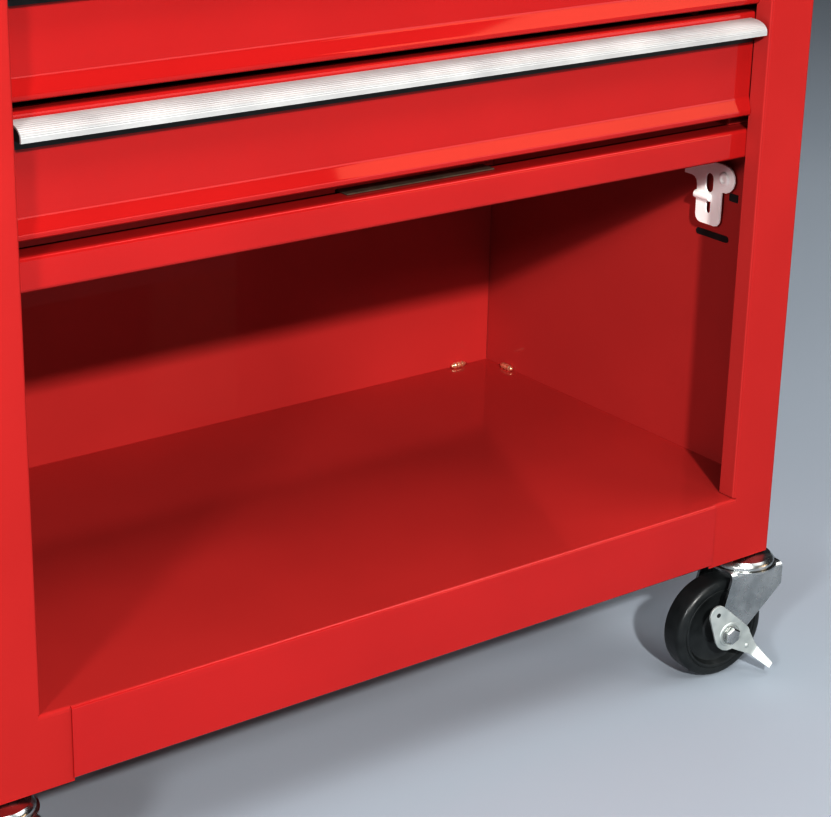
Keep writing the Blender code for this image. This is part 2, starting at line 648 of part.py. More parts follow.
def brake_skin():
    """Brake plate about the axle with its upper lobe, and the pedal bent outwards."""
    neck = Vector(BRAKE_NECK_AT)
    side = Vector((neck.y, -neck.x)).normalized()
    tip = Vector(PEDAL_TIP_AT)
    lobe = arc(BRAKE_LOBE_AT, BRAKE_LOBE_RADIUS, 50, 195, 6)
    body = arc((0, 0), BRAKE_RADIUS, 200, 285, 4)
    shoulder = arc(BRAKE_SHOULDER_AT, BRAKE_SHOULDER_RADIUS, 10, 50, 3)
    neck_ends = [tuple(neck + side * BRAKE_NECK_WIDTH / 2), tuple(neck - side * BRAKE_NECK_WIDTH / 2)]
    tip_ends = [tip + side * PEDAL_TIP_WIDTH / 2, tip - side * PEDAL_TIP_WIDTH / 2]
    bm = bmesh.new()
    flat_y = -ARM_Y - SEAT - BRAKE_SHEET
    verts = [bm.verts.new((x, flat_y, z)) for x, z in (*lobe, *body, *neck_ends, *shoulder)]
    bm.faces.new(verts)
    first = len(lobe) + len(body)
    ends = [bm.verts.new((end.x, -BRAKE_REACH, end.y)) for end in tip_ends]
    bm.faces.new((verts[first + 1], verts[first], ends[0], ends[1]))
    bmesh.ops.recalc_face_normals(bm, faces=bm.faces)
    flat = max(bm.faces, key=lambda face: face.calc_area())
    if flat.normal.y > 0:
        bmesh.ops.reverse_faces(bm, faces=bm.faces)
    return round_folds(bm, radius=BRAKE_SHEET)


def race_profile():
    """Upper race with its threaded stem above and the king pin that holds the fork below."""
    pin_top = CROWN_Z - SEAT
    flat = RACE_Z + RACE_HEIGHT
    return [(0, pin_top - PIN_HEAD_HEIGHT), (PIN_HEAD_RADIUS * 0.8, pin_top - PIN_HEAD_HEIGHT),
            (PIN_HEAD_RADIUS, pin_top), (STEM_RADIUS, pin_top), (STEM_RADIUS, RACE_Z),
            (RACE_RADIUS, RACE_Z), (RACE_RADIUS, RACE_Z + RACE_HEIGHT * 0.30),
            (RACE_RADIUS * 0.88, RACE_Z + RACE_HEIGHT * 0.58), (RACE_NECK_RADIUS, RACE_Z + RACE_HEIGHT * 0.76),
            (RACE_NECK_RADIUS, flat),
            (STEM_RADIUS, flat), (STEM_RADIUS, flat + STEM_LENGTH), (0, flat + STEM_LENGTH)]


def wheel_and_axle(corner, parent, axle_at, near_end):
    """Wheel and axle bolt on one axis, the wheel's origin at its centre."""
    far_end = ARM_Y + SEAT
    smooth(make(f"caster_wheel_{corner}", turned(wheel_profile(), WHEEL_STEPS, "Y"), RUBBER,
                parent=parent, place=axle_at))
    smooth(make(f"caster_axle_{corner}", turned(axle_profile(near_end, far_end), 24, "Y"), ZINC,
                parent=parent, place=axle_at))


def swivel_caster(corner, place, angle):
    """Front caster: fixed race and stem, turning fork, wheel and brake lever."""
    x, y = place
    smooth(make(f"caster_race_{corner}", turned(race_profile(), RACE_STEPS), ZINC, place=(x, y, 0)))
    drill(base_pan, f"stem_hole_{corner}", rod(STEM_RADIUS + RUNNING, -2 * SHEET, 2 * SHEET, "Z"),
          (x, y, FLANGE_Z + SHEET / 2))
    swivel = pivot(f"swivel_{corner}", (x, y, 0), (0, 0, angle))
    axle_at = (-TRAIL, 0, WHEEL_RADIUS)
    arms = fork_skin(CROWN_Z + CROWN_DISC, ARM_TOP_HALF, -TRAIL, (ARM_LEAD_SHOULDER, ARM_SHOULDER))
    fork = make(f"caster_fork_{corner}", arms, ZINC, parent=swivel)
    thicken(fork, FORK_SHEET)
    disc = turned([(0, CROWN_Z), (CROWN_RADIUS * 0.9, CROWN_Z), (CROWN_RADIUS, CROWN_Z + CROWN_DISC * 0.4),
                   (CROWN_RADIUS, CROWN_Z + CROWN_DISC), (0, CROWN_Z + CROWN_DISC)], RACE_STEPS)
    join_or_cut(fork, make(f"crown_disc_{corner}", disc, ZINC, parent=swivel), "UNION")
    drill(fork, f"king_pin_hole_{corner}", rod(STEM_RADIUS + RUNNING, 0, 3 * CROWN_DISC, "Z"),
          (0, 0, CROWN_Z - CROWN_DISC), swivel)
    drill(fork, f"fork_bore_{corner}", rod(BORE, -2 * ARM_Y, 2 * ARM_Y, "Y"), axle_at, swivel)
    brake = make(f"brake_lever_{corner}", brake_skin(), ZINC, parent=swivel, place=axle_at)
    thicken(brake, BRAKE_SHEET)
    drill(brake, f"brake_bore_{corner}", rod(BORE, -2 * ARM_Y, 2 * ARM_Y, "Y"), axle_at, swivel)
    wheel_and_axle(corner, swivel, axle_at, -ARM_Y - 2 * SEAT - BRAKE_SHEET)


def rigid_caster(corner, place):
    """Rear caster: a bracket folded from its bolt plate, wheel and axle."""
    x, y = place
    hold = pivot(f"rigid_{corner}", (x, y, 0), (0, 0, math.pi / 2))
    axle_at = (0, 0, WHEEL_RADIUS)
    plate_top = FLANGE_Z - SEAT
    plate_low = plate_top - PLATE_SHEET
    arms = fork_skin(plate_low + FORK_SHEET / 2, ARM_TOP_HALF, 0, (ARM_SHOULDER, ARM_SHOULDER))
    bracket = make(f"caster_bracket_{corner}", arms, ZINC, parent=hold)
    thicken(bracket, FORK_SHEET)
    bolt_plate = block((-PLATE_LENGTH / 2, -PLATE_WIDTH / 2, plate_low),
                       (PLATE_LENGTH / 2, PLATE_WIDTH / 2, plate_top))
    join_or_cut(bracket, make(f"bolt_plate_{corner}", bolt_plate, ZINC, parent=hold), "UNION")
    drill(bracket, f"bracket_bore_{corner}", rod(BORE, -2 * ARM_Y, 2 * ARM_Y, "Y"), axle_at, hold)
    wheel_and_axle(corner, hold, axle_at, -ARM_Y - SEAT)


CASTER_X = HALF - CASTER_INSET_SIDE
CASTER_Y = FRONT_Y + CASTER_INSET_FRONT
swivel_caster("front_right", (CASTER_X, CASTER_Y), RIGHT_SWIVEL)
swivel_caster("front_left", (-CASTER_X, CASTER_Y), LEFT_SWIVEL)
RIGID_X = HALF - RIGID_INSET_SIDE
RIGID_Y = BACK_Y - RIGID_INSET_BACK
rigid_caster("rear_right", (RIGID_X, RIGID_Y))
rigid_caster("rear_left", (-RIGID_X, RIGID_Y))
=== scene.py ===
"""Looks of the rolling tool cabinet: red enamel on folded sheet, ribbed pulls, zinc casters."""
import json
import math

import bmesh
import bpy
from mathutils import Matrix, Vector


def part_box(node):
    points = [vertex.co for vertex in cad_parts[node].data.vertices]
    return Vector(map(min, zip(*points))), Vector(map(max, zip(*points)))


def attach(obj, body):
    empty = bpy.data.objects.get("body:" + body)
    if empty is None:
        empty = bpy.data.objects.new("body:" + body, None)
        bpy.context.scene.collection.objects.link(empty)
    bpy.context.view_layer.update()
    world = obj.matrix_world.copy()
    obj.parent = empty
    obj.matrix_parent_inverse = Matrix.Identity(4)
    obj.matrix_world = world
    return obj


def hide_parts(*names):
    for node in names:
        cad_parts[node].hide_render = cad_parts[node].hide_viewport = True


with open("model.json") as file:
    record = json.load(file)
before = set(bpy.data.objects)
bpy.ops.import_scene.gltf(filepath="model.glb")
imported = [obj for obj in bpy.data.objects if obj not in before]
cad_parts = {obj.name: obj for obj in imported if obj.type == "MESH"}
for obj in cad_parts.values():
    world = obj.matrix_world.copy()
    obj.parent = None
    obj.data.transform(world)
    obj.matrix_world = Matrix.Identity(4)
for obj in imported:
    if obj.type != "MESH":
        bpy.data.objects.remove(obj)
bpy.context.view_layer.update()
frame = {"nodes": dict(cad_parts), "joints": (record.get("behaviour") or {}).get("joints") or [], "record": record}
JOINTS = {joint["name"]: joint for joint in frame["joints"]}
BODY_OF = {node: body
           for body, nodes in frame["record"]["behaviour"]["bodies"].items()
           for node in nodes}
SLOT_OF = {subpart["node"]: subpart["material_slot"] for subpart in frame["record"]["subparts"]}
DRAWERS = (1, 2, 3, 4)
SIDES = {"left": -1, "right": 1}
FRONT_CASTERS = ("front_left", "front_right")
REAR_CASTERS = ("rear_left", "rear_right")
UP = Vector((0, 0, 1))


# Finishes

CLOUD_STOPS = (0.3, 0.7)


def finish(name, **plain):
    """A new finish, its plain values set on the shader's own sockets."""
    made = bpy.data.materials.new(name)
    made.use_nodes = True
    shader = made.node_tree.nodes["Principled BSDF"]
    for socket, value in plain.items():
        shader.inputs[socket.replace("_", " ")].default_value = value
    return made


def noise(made, scale, detail, stretch):
    """Noise on object coordinates, in cells per metre, drawn out by a stretch."""
    nodes, links = made.node_tree.nodes, made.node_tree.links
    place = nodes.new("ShaderNodeTexCoord")
    mapping = nodes.new("ShaderNodeMapping")
    mapping.inputs["Scale"].default_value = stretch
    cloud = nodes.new("ShaderNodeTexNoise")
    cloud.inputs["Scale"].default_value = scale
    cloud.inputs["Detail"].default_value = detail
    links.new(place.outputs["Object"], mapping.inputs["Vector"])
    links.new(mapping.outputs["Vector"], cloud.inputs["Vector"])
    return cloud.outputs["Fac"]


def clouded(made, socket, low, high, scale, detail=2.0, stretch=(1, 1, 1)):
    """Let one of the shader's sockets wander between two values or two colours."""
    nodes, links = made.node_tree.nodes, made.node_tree.links
    ramp = nodes.new("ShaderNodeValToRGB")
    for stop, place, value in zip(ramp.color_ramp.elements, CLOUD_STOPS, (low, high)):
        stop.position = place
        stop.color = (*value, 1.0) if isinstance(value, tuple) else (value, value, value, 1.0)
    links.new(noise(made, scale, detail, stretch), ramp.inputs["Fac"])
    links.new(ramp.outputs["Color"], nodes["Principled BSDF"].inputs[socket])


def grain(made, height, scale, detail=1.0, stretch=(1, 1, 1)):
    """Fine relief, height in metres."""
    nodes, links = made.node_tree.nodes, made.node_tree.links
    bump = nodes.new("ShaderNodeBump")
    bump.inputs["Strength"].default_value = 1.0
    bump.inputs["Distance"].default_value = height
    links.new(noise(made, scale, detail, stretch), bump.inputs["Height"])
    links.new(bump.outputs["Normal"], nodes["Principled BSDF"].inputs["Normal"])


def red_enamel(name, gloss, pale, deep, skin=1.5):
    """Baked enamel: even red with a faint cloud in it, a clear skin and slight orange peel."""
    made = finish(name, Specular_IOR_Level=0.0, Coat_Weight=gloss, Coat_Roughness=0.035,
                  Coat_IOR=skin)
    clouded(made, "Base Color", deep, pale, 9.0)
    clouded(made, "Roughness", 0.30, 0.40, 40.0)
    grain(made, 0.000006, 420.0)
    return made


def ribbed_aluminium():
    """Pale anodised extrusion with drawing lines along its length."""
    made = finish("pale_extrusion", Metallic=0.35, Anisotropic=0.3)
    clouded(made, "Base Color", (0.385, 0.385, 0.385), (0.470, 0.470, 0.465), 30.0)
    clouded(made, "Roughness", 0.48, 0.60, 260.0, stretch=(0.02, 1, 1))
    grain(made, 0.00001, 900.0, stretch=(0.01, 1, 1))
    return made


def bright_zinc():
    """Bright zinc plate with a faint blue cast and soft clouding."""
    made = finish("bright_zinc", Metallic=1.0)
    clouded(made, "Base Color", (0.42, 0.44, 0.44), (0.62, 0.63, 0.62), 60.0)
    clouded(made, "Roughness", 0.20, 0.32, 90.0)
    grain(made, 0.000002, 500.0)
    return made


def satin_zinc(name, deep, pale, metal):
    """Pale satin zinc of the stamped catch and brake plates."""
    made = finish(name, Metallic=metal)
    clouded(made, "Base Color", deep, pale, 70.0)
    clouded(made, "Roughness", 0.50, 0.62, 140.0)
    grain(made, 0.000004, 600.0)
    return made


def rolled_steel():
    """Rolled steel of the slides, with lines along the rolling."""
    made = finish("rolled_steel", Metallic=1.0)
    clouded(made, "Base Color", (0.48, 0.49, 0.50), (0.60, 0.61, 0.62), 45.0)
    clouded(made, "Roughness", 0.28, 0.42, 300.0, stretch=(1, 0.03, 1))
    grain(made, 0.000008, 800.0, stretch=(1, 0.02, 1))
    return made


def oiled_steel():
    """Dark oiled steel of the latch strip."""
    made = finish("oiled_steel", Metallic=0.4)
    clouded(made, "Base Color", (0.090, 0.076, 0.056), (0.150, 0.127, 0.095), 120.0, 3.0)
    clouded(made, "Roughness", 0.35, 0.55, 200.0)
    return made


def weld_bead():
    """Bright weld metal with a straw tint and a rippled skin."""
    made = finish("weld_bead", Metallic=0.8)
    clouded(made, "Base Color", (0.80, 0.50, 0.30), (0.95, 0.80, 0.58), 300.0)
    clouded(made, "Roughness", 0.25, 0.45, 500.0)
    grain(made, 0.0003, 900.0, 2.0)
    return made


def black_moulding():
    """Moulded black wheel: a soft satin with fine mould texture."""
    made = finish("black_wheel", Specular_IOR_Level=0.45)
    clouded(made, "Base Color", (0.013, 0.016, 0.017), (0.025, 0.029, 0.030), 80.0)
    clouded(made, "Roughness", 0.30, 0.44, 220.0, 3.0)
    grain(made, 0.000008, 900.0, 2.0)
    return made


# Gloss, pale red, deep red and, on the bay's floor, a denser clear skin; the floor, wall and inside reds are
# lighter copies of the body's red, painted light for the light that falls inside the bay
ENAMELS = {"red_enamel": (0.25, (0.350, 0.0310, 0.0290), (0.325, 0.0280, 0.0260)),
           "red_gloss": (0.9, (0.350, 0.0190, 0.0180), (0.325, 0.0170, 0.0160)),
           "red_floor_gloss_painted_light": (1.0, (0.415, 0.0430, 0.0390), (0.390, 0.0400, 0.0360), 1.8),
           "red_wall_painted_light": (0.25, (0.430, 0.0500, 0.0460), (0.405, 0.0460, 0.0430)),
           "red_inside_painted_light": (0.15, (0.465, 0.0520, 0.0490), (0.440, 0.0480, 0.0450))}
FINISHES = {name: red_enamel(name, *look) for name, look in ENAMELS.items()}
FINISHES.update(ribbed_aluminium=ribbed_aluminium(),
                zinc_plate=bright_zinc(),
                satin_zinc=satin_zinc("satin_zinc", (0.40, 0.435, 0.43), (0.54, 0.57, 0.56), 0.65),
                # The catch's own pale zinc, pushed near white and matt: partly painted light, making up for the
                # shade that falls on the catch
                white_zinc=satin_zinc("white_zinc", (0.91, 0.90, 0.88), (0.96, 0.95, 0.93), 0.0),
                slide_steel=rolled_steel(),
                oiled_steel=oiled_steel(),
                weld_bead=weld_bead(),
                black_moulding=black_moulding())
# The back panel takes the lighter inside red: painted light on the bay's back wall
OTHER_LOOK = {"back_panel": "red_inside_painted_light", "base_pan": "red_gloss", "divider_rail": "red_gloss",
              "catch_plate": "white_zinc"}
OTHER_LOOK.update({f"drawer_{number}_front": "red_gloss" for number in DRAWERS})
OTHER_LOOK.update({f"brake_lever_{corner}": "satin_zinc" for corner in FRONT_CASTERS})


# Making pieces

EASED_CORNERS = math.radians(50)
SHEET_EASE = 0.00028
WELD_REACH = 2e-6
FLAT_WITHIN = math.radians(0.4)
MERGE_REACH = 1e-6
CUT_REACH = 1e-7


def piece(name, bm, slot, body, smooth=35, ease=0.0, look=None):
    """A finished piece at the origin that rides on a body, its sharp edges eased by a bevel."""
    mesh = bpy.data.meshes.new(name)
    bm.normal_update()
    bm.to_mesh(mesh)
    bm.free()
    mesh.shade_smooth()
    mesh.set_sharp_from_angle(angle=math.radians(smooth))
    mesh.materials.append(FINISHES[look or slot])
    made = bpy.data.objects.new(name, mesh)
    bpy.context.scene.collection.objects.link(made)
    if ease:
        bevel = made.modifiers.new("eased_edges", "BEVEL")
        bevel.width = ease
        bevel.segments = 2
        bevel.limit_method = "ANGLE"
        bevel.angle_limit = EASED_CORNERS
        flats = made.modifiers.new("flat_faces_stay_flat", "WEIGHTED_NORMAL")
        flats.keep_sharp = True
    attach(made, body)
    return made


def rounded(bm, edges, radius, segments=3):
    """Round some of a shape's edges."""
    bmesh.ops.bevel(bm, geom=edges, offset=radius, segments=segments, profile=0.5,
                    affect="EDGES", material=-1)


def bent_edges(bm, angles):
    """The edges where a sheet bends by an angle between two limits, in degrees."""
    bm.normal_update()
    low, high = (math.radians(angle) for angle in angles)
    return [edge for edge in bm.edges if edge.is_manifold and low < edge.calc_face_angle() < high]


CREASE_ANGLES = (10, 25)
CREASE_ROLL = 0.0013


def roll_creases(bm):
    """Round the shallow creases of a pressed drawer front."""
    rounded(bm, bent_edges(bm, CREASE_ANGLES), CREASE_ROLL)


FOLDED = ("base_pan", "divider_rail", "top_rail")
FOLD_ANGLES = (80, 100)
FOLD_ROLL = 0.0012
FOLD_WIDTH = 0.0040


def roll_folds(bm):
    """Round the outer side of the folds between the wide faces of a sheet part."""
    folds = []
    for edge in bent_edges(bm, FOLD_ANGLES):
        if edge.is_convex:
            length = edge.calc_length()
            width = min(face.calc_area() for face in edge.link_faces) / length
            if width > FOLD_WIDTH and length > FOLD_WIDTH:
                folds.append(edge)
    rounded(bm, folds, FOLD_ROLL)


FRONT_REACH = 0.0007


def meet_posts(bm):
    """Draw the ends of a drawer front out until they all but touch the posts."""
    reach = max(vert.co.x for vert in bm.verts)
    for side in SIDES.values():
        end = [vert for vert in bm.verts if vert.co.x * side > reach - FRONT_REACH]
        bmesh.ops.translate(bm, vec=(side * FRONT_REACH, 0, 0), verts=end)


def dressed(node):
    """A welded copy of a CAD piece with flats joined and edges eased, in place of the piece."""
    bm = bmesh.new()
    bm.from_mesh(frame["nodes"][node].data)
    bmesh.ops.remove_doubles(bm, verts=bm.verts, dist=WELD_REACH)
    bmesh.ops.dissolve_limit(bm, angle_limit=FLAT_WITHIN, verts=bm.verts, edges=bm.edges)
    if node.endswith("_front"):
        roll_creases(bm)
        meet_posts(bm)
    elif node.startswith(FOLDED):
        roll_folds(bm)
    made = piece(f"{node}_finish", bm, SLOT_OF[node], BODY_OF[node], ease=SHEET_EASE,
                 look=OTHER_LOOK.get(node))
    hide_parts(node)
    return made


def only(kind, items):
    """The items of one kind in an operator's mixed result."""
    return [item for item in items if isinstance(item, kind)]


def turned(profile, steps):
    """A closed profile of (radius, height) points turned about Z."""
    bm = bmesh.new()
    ring = [bm.verts.new((radius, 0, height)) for radius, height in profile]
    edges = [bm.edges.new(pair) for pair in zip(ring, ring[1:] + ring[:1])]
    bmesh.ops.spin(bm, geom=ring + edges, cent=(0, 0, 0), axis=UP, angle=2 * math.pi, steps=steps,
                   use_merge=True)
    bmesh.ops.remove_doubles(bm, verts=bm.verts, dist=MERGE_REACH)
    bmesh.ops.dissolve_degenerate(bm, edges=bm.edges, dist=MERGE_REACH)
    bmesh.ops.recalc_face_normals(bm, faces=bm.faces)
    return bm


def drawn(outline, way):
    """A closed outline of points drawn along a direction into a solid."""
    bm = bmesh.new()
    end = bm.faces.new([bm.verts.new(point) for point in outline])
    moved = bmesh.ops.extrude_face_region(bm, geom=[end])["geom"]
    bmesh.ops.translate(bm, vec=way, verts=only(bmesh.types.BMVert, moved))
    bmesh.ops.recalc_face_normals(bm, faces=bm.faces)
    return bm


def pad(low, high, corner):
    """A flat pad between two corner points, rounded where it is seen along X."""
    bm = bmesh.new()
    bmesh.ops.create_cube(bm, size=1)
    bmesh.ops.scale(bm, vec=high - low, verts=bm.verts)
    bmesh.ops.translate(bm, vec=(low + high) / 2, verts=bm.verts)
    half = (high.x - low.x) / 2
    along_x = [edge for edge in bm.edges if abs(edge.verts[0].co.x - edge.verts[1].co.x) > half]
    rounded(bm, along_x, corner, segments=5)
    return bm


def placed(bm, matrix):
    """Move a shape made about its own origin to its place on the object."""
    bmesh.ops.transform(bm, matrix=matrix, verts=bm.verts)
    return bm


def facing(way, at):
    """The placing that turns a shape's Z towards a direction at a point."""
    return Matrix.Translation(at) @ Vector(way).to_track_quat("Z", "Y").to_matrix().to_4x4()


def joined(shapes):
    """Several shapes of one piece in one bmesh."""
    whole = bmesh.new()
    for shape in shapes:
        part = bpy.data.meshes.new("part")
        shape.to_mesh(part)
        shape.free()
        whole.from_mesh(part)
        bpy.data.meshes.remove(part)
    return whole


def shaved(bm, point, normal):
    """Cut off what lies beyond a plane and close the cut."""
    everything = bm.verts[:] + bm.edges[:] + bm.faces[:]
    cut = bmesh.ops.bisect_plane(bm, geom=everything, plane_co=point, plane_no=normal,
                                 clear_outer=True, dist=CUT_REACH)["geom_cut"]
    bmesh.ops.holes_fill(bm, edges=only(bmesh.types.BMEdge, cut), sides=0)
    bmesh.ops.recalc_face_normals(bm, faces=bm.faces)


# Painted body, drawer fronts and trays, slides, forks and the catch keep their CAD shape

SHAPED_BELOW = ("_pull", "_wheel_", "_axle_", "_race_", "catch_rivet", "latch_strip")
LOOKS_THAT_WAY = 0.9
FINISHED = {node: dressed(node)
            for node in frame["nodes"]
            if not any(word in node for word in SHAPED_BELOW)}


def paint_lit_faces(node, look, way):
    """Give the faces of a finished piece that look one way a second, lighter red: painted light, brighter where
    those faces catch light.
    """
    mesh = FINISHED[node].data
    mesh.materials.append(FINISHES[look])
    for face in mesh.polygons:
        face.material_index = int(face.normal.dot(way) > LOOKS_THAT_WAY)


# Painted light: the bay's floor faces and the inner faces of the side walls take the lighter reds
paint_lit_faces("base_pan", "red_floor_gloss_painted_light", UP)
for hand, side in SIDES.items():
    paint_lit_faces(f"side_panel_{hand}", "red_wall_painted_light", Vector((-side, 0, 0)))


# Seams of the bay, filled by the enamel

SEAM = 0.0013
SEAM_HOLLOW = 0.30
SEAM_TUCK = 0.0002
SEAM_START = 0.03
SHEET = 0.0012
floor_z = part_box("base_pan")[1].z
back_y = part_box("back_panel")[0].y
wall_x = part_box("side_panel_right")[1].x - SHEET
bay_front_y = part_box("base_pan")[0].y + SEAM_START


def seam(name, corner, away, way):
    """A hollow bead between the floor and a wall; away points from the wall into the bay."""
    root = corner - (away + UP) * SEAM_TUCK
    hollow = root + (away + UP) * SEAM * SEAM_HOLLOW
    outline = [root, root + away * SEAM, hollow, root + UP * SEAM]
    piece(name, drawn(outline, way), "red_enamel", "cabinet", smooth=60)


seam("bay_seam_back", Vector((-wall_x, back_y, floor_z)), Vector((0, -1, 0)),
     Vector((2 * wall_x, 0, 0)))
for hand, side in SIDES.items():
    seam(f"bay_seam_{hand}", Vector((side * wall_x, bay_front_y, floor_z)), Vector((-side, 0, 0)),
         Vector((0, back_y - bay_front_y, 0)))


# Seams where the skirt's top edge meets the foot tabs of the posts

POST_WIDTH = 0.042
FOOT_SEAM_IN = 0.0200
FOOT_SEAM_OUT = 0.0024
FOOT_SECTION = ((0.0001, -0.0035), (0.0001, -0.0018), (0.0005, -0.0008), (0.0013, -0.0001),
                (0.0019, -0.0001), (0.0019, -0.0035))
tab_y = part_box("side_panel_right")[0].y
post_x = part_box("side_panel_right")[1].x - POST_WIDTH
for hand, side in SIDES.items():
    outline = [(side * (post_x - FOOT_SEAM_IN), tab_y + y, floor_z + z) for y, z in FOOT_SECTION]
    foot_seam = drawn(outline, (side * (FOOT_SEAM_IN + FOOT_SEAM_OUT), 0, 0))
    piece(f"foot_seam_{hand}", foot_seam, "red_enamel", "cabinet", smooth=60)


# Weld beads in the far corner of the bay

BEAD = 0.0028
BEAD_SINK = 0.0007
BEAD_LENGTH = 0.016
BEAD_STEPS = 32
BEAD_TURN_STEPS = 20
BEAD_RIPPLES = 4
BEAD_RIPPLE = 0.14
BEAD_FROM_BACK = 0.020
BEAD_FROM_WALL = 0.024


def bead():
    """A short weld: a rippled rod with round ends, standing on Z = 0."""
    profile = [(0, 0)]
    for step in range(1, BEAD_STEPS):
        share = step / BEAD_STEPS
        swell = math.sqrt(1 - (2 * share - 1) ** 4)
        ripple = 1 - BEAD_RIPPLE * math.sin(math.pi * BEAD_RIPPLES * share) ** 2
        profile.append((BEAD * swell * ripple, BEAD_LENGTH * share))
    return turned(profile + [(0, BEAD_LENGTH)], BEAD_TURN_STEPS)


inward = BEAD - BEAD_SINK
bay_corner = Vector((wall_x - inward, back_y - inward, floor_z + inward))
beads = [placed(bead(), facing(way, bay_corner + way * gap))
         for way, gap in ((Vector((-1, 0, 0)), BEAD_FROM_WALL),
                          (Vector((0, -1, 0)), BEAD_FROM_BACK))]
piece("bay_corner_welds", joined(beads), "red_enamel", "cabinet", smooth=60, look="weld_bead")


# Latch strip, folded round the rear edge of the rail's top flange

LATCH_SHEET = 0.0010
LATCH_LIFT = 0.0002
LATCH_BEND = 0.0004
low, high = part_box("latch_strip")
clip_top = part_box("divider_rail")[1].z + LATCH_LIFT + LATCH_SHEET
clip_under = clip_top - LATCH_SHEET
clip_front = low.y + LATCH_BEND
clip_back = high.y - LATCH_SHEET
clip_section = [(low.y, low.z), (high.y, low.z), (high.y, clip_top - LATCH_BEND),
                (high.y - LATCH_BEND, clip_top), (clip_front, clip_top), (clip_front, clip_under),
                (clip_back, clip_under), (clip_back, high.z), (low.y, high.z)]
clip = drawn([(low.x, y, z) for y, z in clip_section], (high.x - low.x, 0, 0))
made = piece("latch_clip", clip, "slide_steel", "cabinet", smooth=30, ease=0.0002,
             look="oiled_steel")
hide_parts("latch_strip")


# Catch: rolled tongue and tubular rivet

TONGUE_RADIUS = 0.0032
TONGUE_EASE = 0.0007
TONGUE_FROM, TONGUE_TO = 0.0125, 0.0300
TONGUE_Z = -0.0175
pivot = Vector(JOINTS["catch_turn"]["pos_m"])
plate_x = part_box("catch_plate")[0].x
tongue_length = TONGUE_TO - TONGUE_FROM
tongue_end = TONGUE_RADIUS - TONGUE_EASE
tongue = turned([(0, 0), (tongue_end, 0), (TONGUE_RADIUS, TONGUE_EASE),
                 (TONGUE_RADIUS, tongue_length - TONGUE_EASE), (tongue_end, tongue_length),
                 (0, tongue_length)], 32)
tongue_at = Vector((plate_x, pivot.y + TONGUE_FROM, pivot.z + TONGUE_Z))
piece("catch_tongue", placed(tongue, facing((0, 1, 0), tongue_at)), "zinc_plate", "catch",
      smooth=40, look="white_zinc")

RIVET_HEAD = 0.0055
RIVET_HEAD_HIGH = 0.0016
RIVET_NECK = 0.0025
RIVET_COLLAR = 0.0045
COLLAR_FROM, COLLAR_TO = -0.0047, -0.0003
rivet_low, rivet_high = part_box("catch_rivet")
inside = pivot.x - rivet_low.x
outside = pivot.x - rivet_high.x
outer_head = [(0, outside), (0.0033, outside), (RIVET_HEAD, outside + RIVET_HEAD_HIGH)]
tube = [(RIVET_NECK, outside + RIVET_HEAD_HIGH), (RIVET_NECK, COLLAR_FROM),
        (RIVET_COLLAR, COLLAR_FROM), (RIVET_COLLAR, COLLAR_TO), (RIVET_NECK, COLLAR_TO),
        (RIVET_NECK, inside - RIVET_HEAD_HIGH)]
rolled_head = [(RIVET_HEAD, inside - RIVET_HEAD_HIGH), (0.0053, inside - 0.0009),
               (0.0044, inside - 0.0002), (0.0034, inside), (0.0026, inside - 0.0004),
               (0.0021, inside - 0.0014), (0, inside - 0.0014)]
rivet = turned(outer_head + tube + rolled_head, 40)
made = piece("rivet_tubular", placed(rivet, facing((-1, 0, 0), pivot)), "zinc_plate", "cabinet",
             smooth=40, look="white_zinc")
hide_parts("catch_rivet")


# Black plugs in the two cut-outs of the right wall, painted shade for the dark seen through them: width, height,
# place from the rivet and corner

SHADE_PLUG_STANDS = 0.0005
SHADE_PLUG_FIT = 0.0001
SHADE_PLUGS = {"wall_shade_plug_square": (0.0090, 0.0060, -0.0051, -0.0146, 0.0010),
         "wall_shade_plug_long": (0.0350, 0.0050, 0.0150, -0.0486, 0.0023)}
for name, (width, height, y, z, corner) in SHADE_PLUGS.items():
    middle = Vector((0, pivot.y + y, pivot.z + z))
    half = Vector((0, width, height)) / 2 - Vector((0, SHADE_PLUG_FIT, SHADE_PLUG_FIT))
    low = middle - half + Vector((wall_x - SHADE_PLUG_STANDS, 0, 0))
    high = middle + half + Vector((wall_x + SHEET, 0, 0))
    piece(name, pad(low, high, corner), "black_moulding", "cabinet", smooth=40)


# Ribbed pulls, with a black strip and black end caps that paint the shade under the lip and in the pull's ends

PULL_WALL = 0.0016
PULL_HEIGHT = 0.0103
PULL_LIP = 0.0030
PULL_RIBS = 11
RIB_DEPTH = 0.00026
HOOD_STEPS = 8
PULL_CORNER = 0.0014
PULL_CORNER_CUTS = (22, 45, 68)
SHADE_CAP_INSET = 0.0004
SHADE_CAP_THICK = 0.0030
SHADE_CAP_STEPS = 6
SHADE_STRIP = 0.0008
SHADE_STRIP_DROP = 0.0010


def pull_section(low, high):
    """Lip, ribbed hood and web of the pull: (y, z) points of its outer, then its inner side."""
    front, back, top = low.y, high.y, high.z
    shoulder = top - PULL_HEIGHT + PULL_LIP
    outer = [(front, top - PULL_HEIGHT), (front, shoulder)]
    steps = 2 * PULL_RIBS
    for step in range(1, steps):
        angle = math.pi / 2 * step / steps
        dent = RIB_DEPTH if step % 2 else 0.0
        reach = back - front - dent
        rise = top - shoulder - dent
        outer.append((back - reach * math.cos(angle), shoulder + rise * math.sin(angle)))
    outer += [(back, top), (back, low.z)]
    inner = [(back - PULL_WALL, low.z)]
    reach = back - front - PULL_WALL
    rise = top - shoulder - PULL_WALL
    for step in range(HOOD_STEPS + 1):
        angle = math.pi / 2 * (1 - step / HOOD_STEPS)
        y = min(back - reach * math.cos(angle), back - PULL_WALL)
        inner.append((y, shoulder + rise * math.sin(angle)))
    inner.append((front + PULL_WALL, top - PULL_HEIGHT))
    return outer + inner


